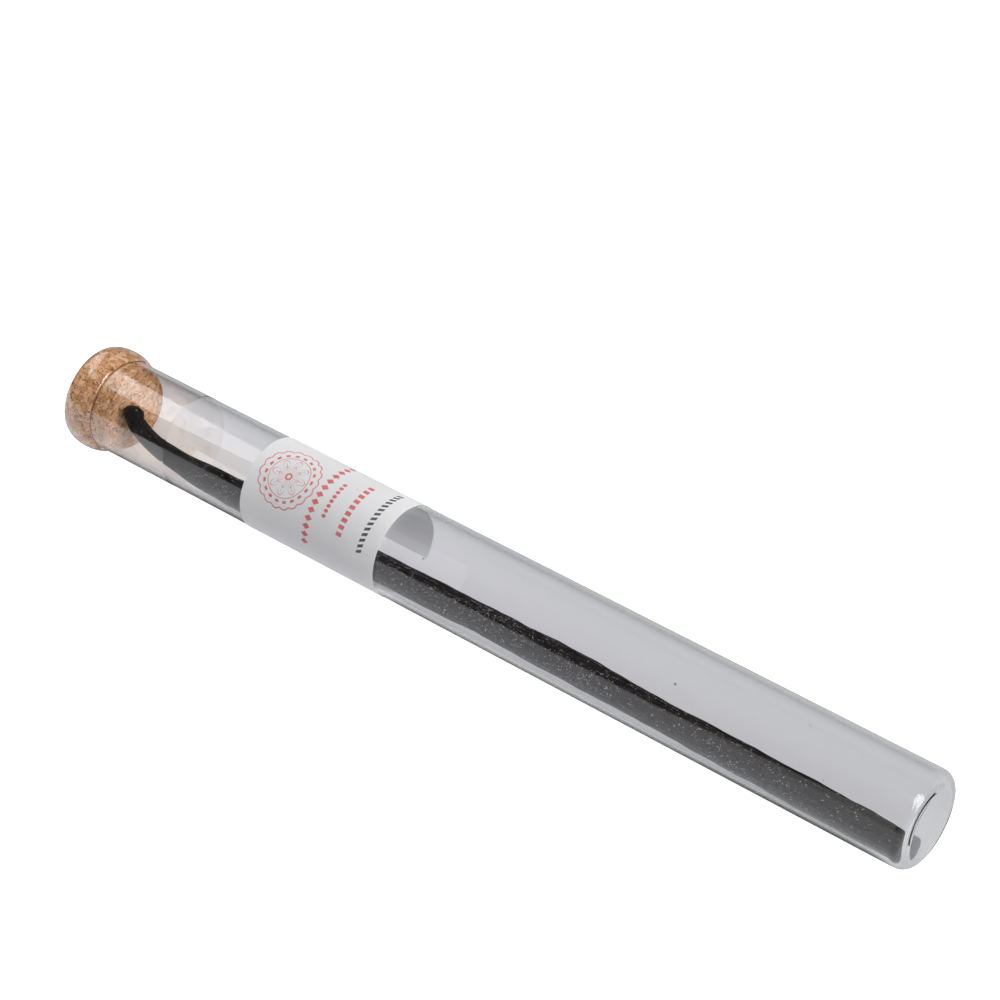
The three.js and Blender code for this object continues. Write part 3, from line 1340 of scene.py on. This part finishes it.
def facing(place: Triple, aim: Triple) -> Matrix:
    """The matrix that stands a lamp or a camera in its place and turns it to a point."""
    turn = (Vector(aim) - Vector(place)).to_track_quat("-Z", "Y")
    return Matrix.Translation(place) @ turn.to_matrix().to_4x4()


@dataclass(frozen=True)
class Softbox:
    """A large soft lamp that stands beside the object and faces its aim, all in metres."""

    name: str
    place: Triple
    aim: Triple
    size: Pair
    glow: float  # how bright its face is, with a plain white floor near 1
    reflected: bool = False  # True for a lamp that mirror reflections show

    def build(self) -> None:
        """Adds the lamp."""
        lamp = bpy.data.lights.new(self.name, "AREA")
        lamp.shape = "RECTANGLE"
        lamp.size, lamp.size_y = self.size
        lamp.energy = self.glow * math.pi * self.size[0] * self.size[1]
        made = added(self.name, lamp)
        made.matrix_world = facing(self.place, self.aim)
        made.visible_camera = False
        made.visible_glossy = made.visible_transmission = self.reflected


@dataclass(frozen=True)
class GlowingSheet:
    """A flat sheet that glows evenly and shows in reflections only."""

    name: str
    glow: float
    corners: tuple[Triple, ...]  # in metres

    def build(self) -> Object:
        """Makes the sheet.

        Returns:
            The sheet.
        """
        material, bench, shader = new_material(self.name)
        bench.fill(shader, {"Base Color": BLACK, "Emission Color": WHITE, "Emission Strength": self.glow})
        bm = bmesh.new()
        bm.faces.new([bm.verts.new(corner) for corner in self.corners])
        made = finished(self.name, bm, Matrix.Identity(4), material)
        made.visible_camera = False
        return made


def upright_sheet(name: str, glow: float, along: float, corners: tuple[Pair, ...]) -> GlowingSheet:
    """A sheet that stands across the tube's direction, at a place along it."""
    return GlowingSheet(name, glow, tuple((along, *corner) for corner in corners))


@dataclass(frozen=True)
class Studio:
    """A pale floor, soft lamps round the tube, tall bright sheets past its mouth and a low card in front.

    The floor and the background answer to the kind of ray that meets them. The camera finds them white.
    Through clear pieces they are less bright, and in reflections they are dark with a lighter front.
    An edge is where a mask steps, in metres, and half the width of that step.
    """

    floor_radius: float = 2.2  # in metres
    floor_white: Colour = (0.60, 0.61, 0.63)
    floor_worn: float = 0.985  # how bright its darker patches are beside it
    floor_lift: float = 1.1  # a little light of its own where the camera looks straight at the floor
    floor_even: float = 0.7  # share of it that is light of its own where it is seen through clear pieces
    floor_clear: float = 0.745  # how bright that light is in the middle
    floor_fade: float = 1.3  # how much darker it gets for each metre past the middle, towards the shut end
    floor_front: float = 0.55  # what is left of it at the front, a painted shadow in front of the tube
    front_edge: Pair = (-0.006, 0.004)  # where the front ends
    cork_glow: float = 0.16  # how much brighter it is next to the cork
    cork_light: Colour = (1.0, 0.885, 0.80)  # the colour of the light next to the cork
    cork_edges: tuple[Pair, Pair] = ((-0.066, 0.014), (0.013, 0.007))  # its ends along and to the back
    floor_shade: float = 0.3  # how much darker its back half is where it is seen in a reflection
    shade_edge: Pair = (0.01, 0.008)  # where the back half starts
    floor_sheen: float = 0.25  # a little light of its own where its front half is seen in a reflection
    sheen_edge: Pair = (-0.009, 0.003)  # where the front half ends
    sheen_far: float = 0.55  # what is left of it towards the shut end
    sheen_fall: Pair = (0.05, 0.09)  # where it falls to that
    floor_bounce: float = 0.3  # a little light of its own where it lights the object
    light: Colour = (0.97, 0.955, 1.0)  # the colour of all that light
    white: float = 0.48  # brightness of the background through clear pieces
    dim: float = 0.03  # brightness of the dark room in reflections
    sheets: tuple[GlowingSheet, ...] = (
        GlowingSheet("pale_card", 0.6, ((-0.39, -1, 0), (-0.1, -1, 0), (-0.1, -1, 0.55), (-0.25, -1, 0.31))),
        upright_sheet(
            "mouth_end_low_sheet", 1.5, -1.103, ((0, 1.08), (0.82, 1.09), (0.95, 0.5), (0.3, 0.55))
        ),
        upright_sheet(
            "mouth_end_sheet", 1.65, -1.103,
            ((0.82, 1.09), (0.30, 1.79), (-0.55, 1.79), (-0.66, 1.33), (-0.31, 1.34), (0.0, 1.08)),
        ),
    )
    lamps: tuple[Softbox, ...] = (
        Softbox("mouth_end_light", (-1.0, 0.0, 0.7), (0.0, 0.0, 0.0), (1.2, 0.8), 1.6),
        Softbox("shut_end_light", (1.1, 0.05, 0.80), (0.0, 0.0, 0.80), (1.0, 0.85), 4.8),
        Softbox("shut_end_strip", (1.12, 0.05, 0.82), (0.0, 0.0, 0.82), (0.5, 1.05), 7.5, reflected=True),
        Softbox("top_light", (0.0, -0.15, 1.5), (0.0, 0.0, 0.0), (1.6, 1.6), 1.0),
        Softbox("back_light", (0.0, 1.0, 0.8), (0.0, 0.0, 0.0), (1.6, 0.9), 0.55),
    )
    # How far the renderer follows light, and which light it leaves out.
    bounces: tuple[tuple[str, int], ...] = (
        ("caustics_refractive", False), ("caustics_reflective", False), ("transparent_max_bounces", 24),
        ("max_bounces", 20), ("transmission_bounces", 20), ("glossy_bounces", 14),
    )

    @staticmethod
    def kinds(bench: Bench) -> tuple[Field, Field]:
        """Tells apart the rays that come by a reflection and those that come straight through clear pieces.

        Args:
            bench: where the nodes go.

        Returns:
            A mask of each kind.
        """
        mirrored = bench.ray("Glossy Depth").above(0.5, 0.1)
        return mirrored, bench.ray("Is Transmission Ray") * mirrored.rest()

    def floor_material(self) -> Material:
        """Mixes smooth white board, with light of its own for each kind of ray.

        Returns:
            The material.
        """
        material, bench, shader = new_material("white_board")
        place = bench.place()
        along, back, _ = bench.parts("XYZ", place)
        mirrored, straight = self.kinds(bench)
        through = straight * self.floor_even
        tone = bench.mottle(place, scale=12.0, contrast=1.0)
        board = bench.mix(tone, tuple(self.floor_worn * part for part in self.floor_white), self.floor_white)
        darkened = through + mirrored * back.above(*self.shade_edge) * self.floor_shade
        by_cork = along.below(*self.cork_edges[0]) * back.below(*self.cork_edges[1]) * through
        clear = (along * -self.floor_fade + 1.0) * self.floor_clear + by_cork * self.cork_glow
        # Painted shadow: the floor's own light is weaker in front of the tube.
        clear = clear * back.above(*self.front_edge).between(self.floor_front, 1.0)
        sheen = back.below(*self.sheen_edge) * along.below(*self.sheen_fall).between(self.sheen_far, 1.0)
        seen = bench.ray("Is Camera Ray") * self.floor_lift
        bounced = bench.ray("Is Diffuse Ray") * self.floor_bounce
        bench.fill(shader, {
            "Base Color": bench.mix(darkened, board, BLACK),
            "Roughness": 0.9,
            "Specular IOR Level": 0.1,
            "Emission Color": bench.mix(by_cork, self.light, self.cork_light),
            "Emission Strength": seen + through * clear + mirrored * sheen * self.floor_sheen + bounced,
        })
        return material

    def world(self) -> World:
        """Makes a background that is white to look at, less bright through glass and dim in reflections.

        Returns:
            The world.
        """
        world = bpy.data.worlds.new("studio")
        world.use_nodes = True
        bench = Bench(world.node_tree)
        seen = bench.mix(self.kinds(bench)[1], (self.dim,) * 3, (self.white,) * 3)
        backdrop = bench.node("Background", {"Color": bench.mix(bench.ray("Is Camera Ray"), seen, WHITE)})
        bench.node("OutputWorld", {"Surface": backdrop.outputs[0]})
        return world

    def build(self) -> None:
        """Lays the floor, stands the sheets and sets the lamps."""
        bm = bmesh.new()
        bmesh.ops.create_circle(bm, cap_ends=True, segments=96, radius=self.floor_radius / MM)
        floor = finished("floor", bm, Matrix.Scale(MM, 4), self.floor_material())
        [sheet.build() for sheet in self.sheets]
        for lamp in self.lamps:
            lamp.build()
        scene = bpy.context.scene
        scene.world = self.world()
        scene.view_settings.view_transform = "Standard"
        for name, value in self.bounces:
            setattr(scene.cycles, name, value)


@dataclass(frozen=True)
class Viewpoint:
    """The camera, in metres."""

    place: Triple = (0.26119, -0.32539, 0.37624)  # where it stands
    target: Triple = (-0.02161, 0.03444, 0.0)  # a point on the floor in the middle of its view
    roll: float = -0.38  # how far it is turned about its view, in degrees
    lens: float = 101.8  # its focal length in millimetres
    sensor: float = 36.0  # the width of its sensor in millimetres
    nearest: float = 0.01  # where its view starts

    def build(self) -> None:
        """Adds the camera and makes it the scene's own."""
        camera = bpy.data.cameras.new("camera")
        camera.lens, camera.sensor_width, camera.clip_start = self.lens, self.sensor, self.nearest
        made = added("camera", camera)
        made.matrix_world = facing(self.place, self.target) @ Matrix.Rotation(math.radians(self.roll), 4, "Z")
        bpy.context.scene.camera = made


def stand_in(piece: Object, node: str | None = None) -> None:
    """Says where a piece belongs, and logs its size.

    Args:
        piece: the piece.
        node: the solid that it stands for, if any.
    """
    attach(piece, "root")
    if node:
        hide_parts(node)
    size = tuple(round(side, 4) for side in piece.dimensions)
    log.info("%s: %d faces, %s m", piece.name, len(piece.data.polygons), size)


def main() -> None:
    """Builds the camera, the pack and the studio."""
    logging.basicConfig(level=logging.INFO, format="%(name)s: %(message)s")
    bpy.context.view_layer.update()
    Viewpoint().build()
    glass = GlassTube()
    pod = CuredPod(glass)
    stand_in(glass.build(ClearGlass().material()), "glass_tube")
    stand_in(CorkStopper(glass).build(PressedCork().material()), "cork_stopper")
    stand_in(pod.build(CuredSkin().material()), "vanilla_pod")
    stand_in(PodCrystals(pod).build(Frost().material()))
    stand_in(PaperLabel(glass).build(), "paper_label")
    stand_in(SealFilm(glass).build(ClearFilm().material()), "seal_film")
    Studio().build()


if __name__ == "__main__":
    main()
